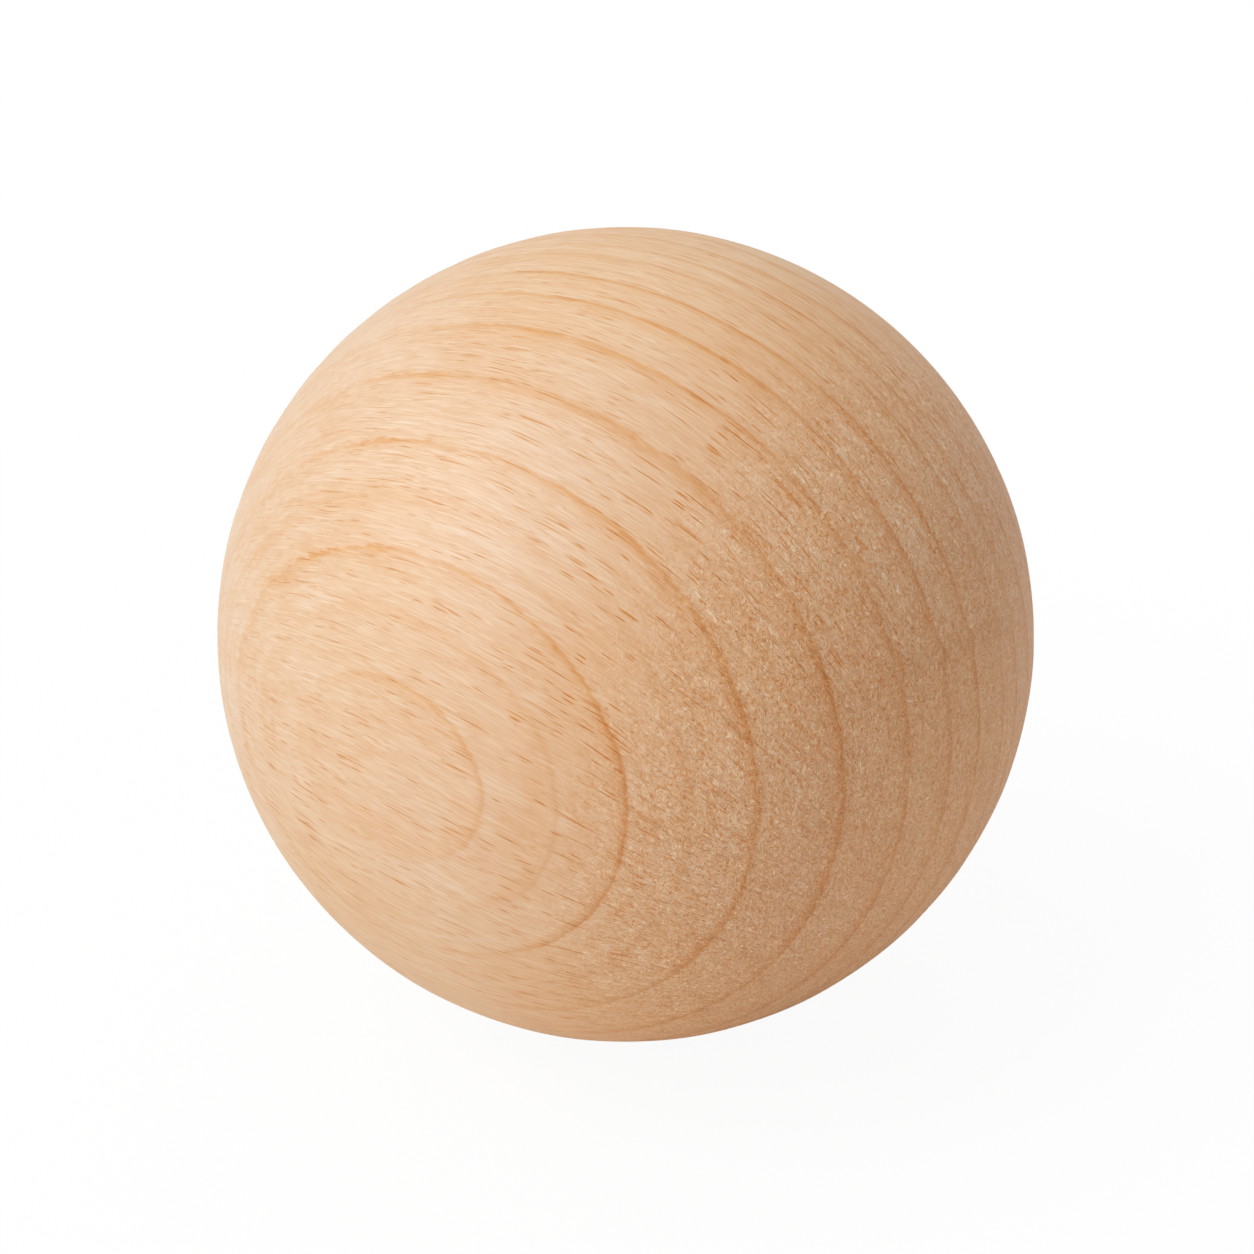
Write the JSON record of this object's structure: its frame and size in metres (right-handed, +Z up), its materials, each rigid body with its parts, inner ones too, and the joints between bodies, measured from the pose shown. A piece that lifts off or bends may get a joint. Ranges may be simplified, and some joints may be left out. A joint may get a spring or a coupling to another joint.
{
  "type": "wooden ball",
  "caption": "Solid round ball of pale hardwood, turned from one block and sanded smooth all over, for craft, display and rolling.",
  "frame": {"origin": "centre of the ball", "axes": "+Z up, +X to the right and +Y away from the viewer as the ball is pictured. The form is the same about every axis; only the grain has a direction."},
  "size_m": [0.05, 0.05, 0.05],
  "materials": {
    "wood": "bare fine-sanded beech, matt with a faint sheen"
  },
  "bodies": {
    "root": {"ball": "wood"}
  },
  "joints": []
}
